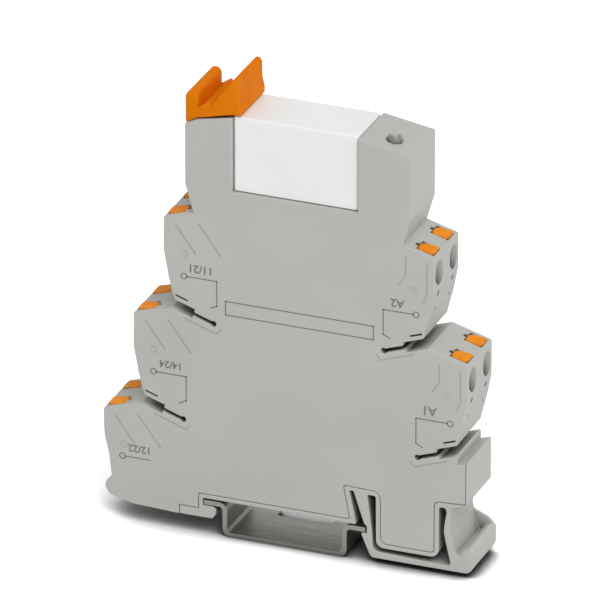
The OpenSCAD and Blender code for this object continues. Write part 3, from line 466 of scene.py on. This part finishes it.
# each spring's copy stays where it lies in the frame and rides on no body; the place of a bend past its
# loop and the button over it are worked out and handed on, but nothing bends
LOOP_LENGTH, LOOP_DROP = 0.00207, 0.00036
BEND_LENGTH, BEND_RISE = 0.00042, 0.000085
for name in [name for name in nodes if name.startswith("spring_")]:
    spring_low, spring_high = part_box(name)
    back, way = (spring_low.x, 1) if spring_low.x > 0 else (spring_high.x, -1)
    start = (back + way * LOOP_LENGTH, 0, spring_high.z - LOOP_DROP)
    end = (start[0] + way * BEND_LENGTH, 0, start[2] + BEND_RISE)
    button = name.replace("spring", "release_button")
    stand_for(name, merged(name), spring_steel, ("terminal_block", button, start, end))

# Indicator: a domed window of clear polycarbonate in a bore of the tower, a light source of cream epoxy
# resin below it, and the small board that feeds it, of green glass laminate with black moulded parts. The
# window's tone is painted by its distance from the axis: lighter in the middle, standing for the source
# seen through it, and falling off to a painted shade at the rim, standing for the dark bore.
# the lighter middle takes the first share of the window's radius, and the painted rim shade holds from the
# second on
SOURCE_SHARE, BORE_SHADE_SHARE = 0.45, 0.8
MIDDLE_TONE, RIM_PAINTED_SHADE = 0.3, 0.7
window_clear, tree, place = new_material("polycarbonate_clear")
lens_low, lens_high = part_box("indicator_lens")
lens_middle = (lens_low + lens_high) / 2
lens_r = (lens_high.x - lens_low.x) / 2
centred = add_node(tree, "ShaderNodeMapping", {
    "Vector": place, "Location": (-lens_middle.x, -lens_middle.y, 0), "Scale": (1.0, 1.0, 0.0)})
axis_distance = add_node(tree, "ShaderNodeVectorMath", {0: centred.outputs[0]}, operation="LENGTH")
# painted shade: the window's colour darkens from its middle out to the rim
rim = add_node(tree, "ShaderNodeMapRange", {
    "Value": axis_distance.outputs["Value"], "From Min": SOURCE_SHARE * lens_r,
    "From Max": BORE_SHADE_SHARE * lens_r, "To Min": MIDDLE_TONE, "To Max": RIM_PAINTED_SHADE})
# a slow shade, about a millimetre wide, moves the roughness
shade = add_node(tree, "ShaderNodeTexNoise", {"Vector": place, "Scale": 900.0})
sheen = add_node(tree, "ShaderNodeMapRange", {"Value": shade.outputs[0], "To Min": 0.25, "To Max": 0.35})
finish_material(tree, Base_Color=two_tone(tree, rim.outputs[0], "#bcbdb9", "#858682"),
                Roughness=sheen.outputs[0], IOR=1.58, Transmission_Weight=0.2)
dress(window_clear, "indicator_lens")
cream_epoxy = moulded("epoxy_resin_cream", "#dcd8b4", "#e7e4c8", roughness=0.2, flow=0.002, grain=0.0003,
                      depth=0.00001)
dress(cream_epoxy, "indicator_led")
green_laminate = moulded("epoxy_glass_laminate", "#28603a", "#2f6b3c", roughness=0.35, flow=0.002,
                         grain=0.0003, depth=0.00001)
dress(green_laminate, "circuit_board")
black_plastic = moulded("moulding_compound_black", "#222326", "#2b2c2f", roughness=0.5, flow=0.004,
                        grain=0.0004, depth=0.00002)
dress(black_plastic, "board_parts", "relay_base", "coil_bobbin")

# Retaining lever: orange polyamide, moulded in one piece between two flat planes, and held by its stub pins
# between the block's walls. It is satin, and a shade deeper than the buttons.
orange_polyamide = moulded("polyamide_orange_satin", "#d87208", "#e07c0c", roughness=0.5, flow=0.006,
                           grain=0.0004, depth=0.00002, gloss=0.02)
lever_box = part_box("retaining_lever")
softened("retaining_lever", MOULD_RADIUS, (lever_box[0].y, lever_box[1].y), orange_polyamide)

# Relay: a white polyester cap, moulded smooth, over the coil, its iron and the contacts. The iron is nickel
# plated, which is bright and grey, and the coil is wound of enamelled copper wire, a clear reddish brown.
white_polyester = moulded("polyester_white_smooth", "#e6e9e8", "#eaedec", roughness=0.4, flow=0.01,
                          grain=0.0005, depth=0.00001, gloss=0.25)
dress(white_polyester, "contact_pusher")
eased("relay_cap", MOULD_RADIUS, white_polyester)
nickel_plated = rolled("iron_nickel_plated", "#a0a2a4", "#b4b6b8", roughness=0.3, thread=0.0004)
dress(nickel_plated, "coil_core", "relay_yoke", "armature")
enamelled_copper = rolled("copper_wire_enamelled", "#964e22", "#b0622f", roughness=0.3, thread=0.0002)
dress(enamelled_copper, "coil_winding")

# Floor: a plain pale table. To the camera, and in reflections, its colour is strong enough to read white
# outside a painted shadow, and the light that it throws back on the part is that of plain paper.
# half the table's width, the share of light that paper throws back, and the strength that is seen as white
FLOOR = 3.0
PAPER = 0.8
SEEN_WHITE = 1.28
edge = np.array([-FLOOR, FLOOR])
corners = np.stack([*np.meshgrid(edge, edge), np.zeros((2, 2))], axis=-1).reshape(-1, 3)
floor_mesh = bpy.data.meshes.new("floor")
floor_mesh.from_pydata(corners.tolist(), [], [(0, 1, 3, 2)])
floor = placed("floor", floor_mesh)


def seen_share(tree):
    """One where the ray comes from the camera, a reflection or glass, else zero."""
    path = add_node(tree, "ShaderNodeLightPath")
    share = path.outputs["Is Camera Ray"]
    for kind in ("Is Glossy Ray", "Is Transmission Ray"):
        share = add_node(tree, "ShaderNodeMath", {0: share, 1: path.outputs[kind]}, operation="ADD",
                         use_clamp=True).outputs[0]
    return share


table, tree, place = new_material("table_top_white")
# painted shadow: to the camera the colour is darkest under what stands close over the table, and darkened
# more widely round the whole part
under = open_light(tree, 0.004, closed=0.4, clear=0.9, least=0.2, most=SEEN_WHITE)
around = open_light(tree, 0.014, closed=0.4, clear=0.8, least=0.25, most=SEEN_WHITE)
painted_contact_shadow = add_node(tree, "ShaderNodeMath", {0: under, 1: around}, operation="MULTIPLY")
tone = add_node(tree, "ShaderNodeMix", {"Factor": seen_share(tree), "A": PAPER, "B": painted_contact_shadow.outputs[0]})
paper = add_node(tree, "ShaderNodeBsdfDiffuse", {"Color": tone.outputs[0]})
add_node(tree, "ShaderNodeOutputMaterial", {"Surface": paper.outputs[0]})
floor_mesh.materials.append(table)
floor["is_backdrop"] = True

# Light: an even white room and one large soft lamp at the right of the camera, so that the ends of the block
# are the lightest and its side a little darker. The room shows brighter than it lights the part.
ROOM_LIGHT, ROOM_SEEN = 0.6, 1.0
world = bpy.data.worlds.new("room")
bpy.context.scene.world = world
world.use_nodes = True
tree = world.node_tree
tree.nodes.clear()
strength = add_node(tree, "ShaderNodeMapRange", {
    "Value": seen_share(tree), "To Min": ROOM_LIGHT, "To Max": ROOM_SEEN})
sky = add_node(tree, "ShaderNodeBackground", {"Color": (1, 1, 1, 1), "Strength": strength.outputs[0]})
add_node(tree, "ShaderNodeOutputWorld", {"Surface": sky.outputs[0]})

LAMP_PLACE, LAMP_SIZE, LAMP_POWER = (0.7, -0.75, 1.15), 0.9, 13.0
part_low, part_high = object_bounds()
lamp_data = bpy.data.lights.new("key", "AREA")
lamp_data.size, lamp_data.energy = LAMP_SIZE, LAMP_POWER
lamp = placed("key", lamp_data)
lamp.location = LAMP_PLACE
lamp.rotation_euler = ((part_low + part_high) / 2 - lamp.location).to_track_quat("-Z", "Y").to_euler()

# Camera: a long lens, so that parallel edges stay parallel. It is turned 21.4 degrees to the side cover and
# looks down by 25.3 degrees, and its frame is as wide at the aim as the photograph's.
TURN, RISE = math.radians(21.4), math.radians(25.3)
FRAME_WIDTH = 0.12036
DISTANCE = 2.5
aim = Vector((0.0028, -0.007, 0.0559))
back = Vector((math.sin(TURN) * math.cos(RISE), -math.cos(TURN) * math.cos(RISE), math.sin(RISE)))
camera_data = bpy.data.cameras.new("camera")
camera_data.lens = camera_data.sensor_width * DISTANCE / FRAME_WIDTH
camera_data.clip_end = 2 * DISTANCE
camera = placed("camera", camera_data)
camera.location = aim + DISTANCE * back
camera.rotation_euler = back.to_track_quat("Z", "Y").to_euler()
bpy.context.scene.camera = camera
bpy.context.scene.view_settings.view_transform = "Standard"
